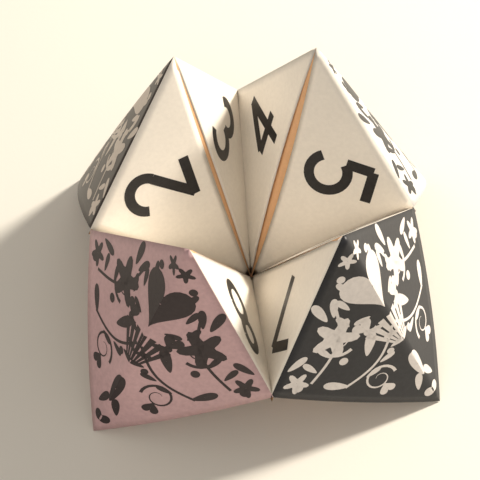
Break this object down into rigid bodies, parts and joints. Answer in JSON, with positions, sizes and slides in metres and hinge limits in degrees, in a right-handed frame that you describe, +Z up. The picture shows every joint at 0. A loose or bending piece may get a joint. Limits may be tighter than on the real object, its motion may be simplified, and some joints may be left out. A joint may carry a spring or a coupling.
{
  "type": "paper fortune teller",
  "caption": "Square sheet folded into a four-peaked cup that stands on its flap corners, with numbered panels inside and printed flaps outside.",
  "frame": {"origin": "middle of the footprint, on the surface that the feet stand on", "axes": "+Z up through the cup's mouth; -Y is the front, +X the right-hand side"},
  "size_m": [0.0964, 0.0967, 0.07],
  "materials": {
    "paper": "matt printed paper"
  },
  "bodies": {
    "root": {"folded_sheet": "paper"}
  },
  "joints": []
}
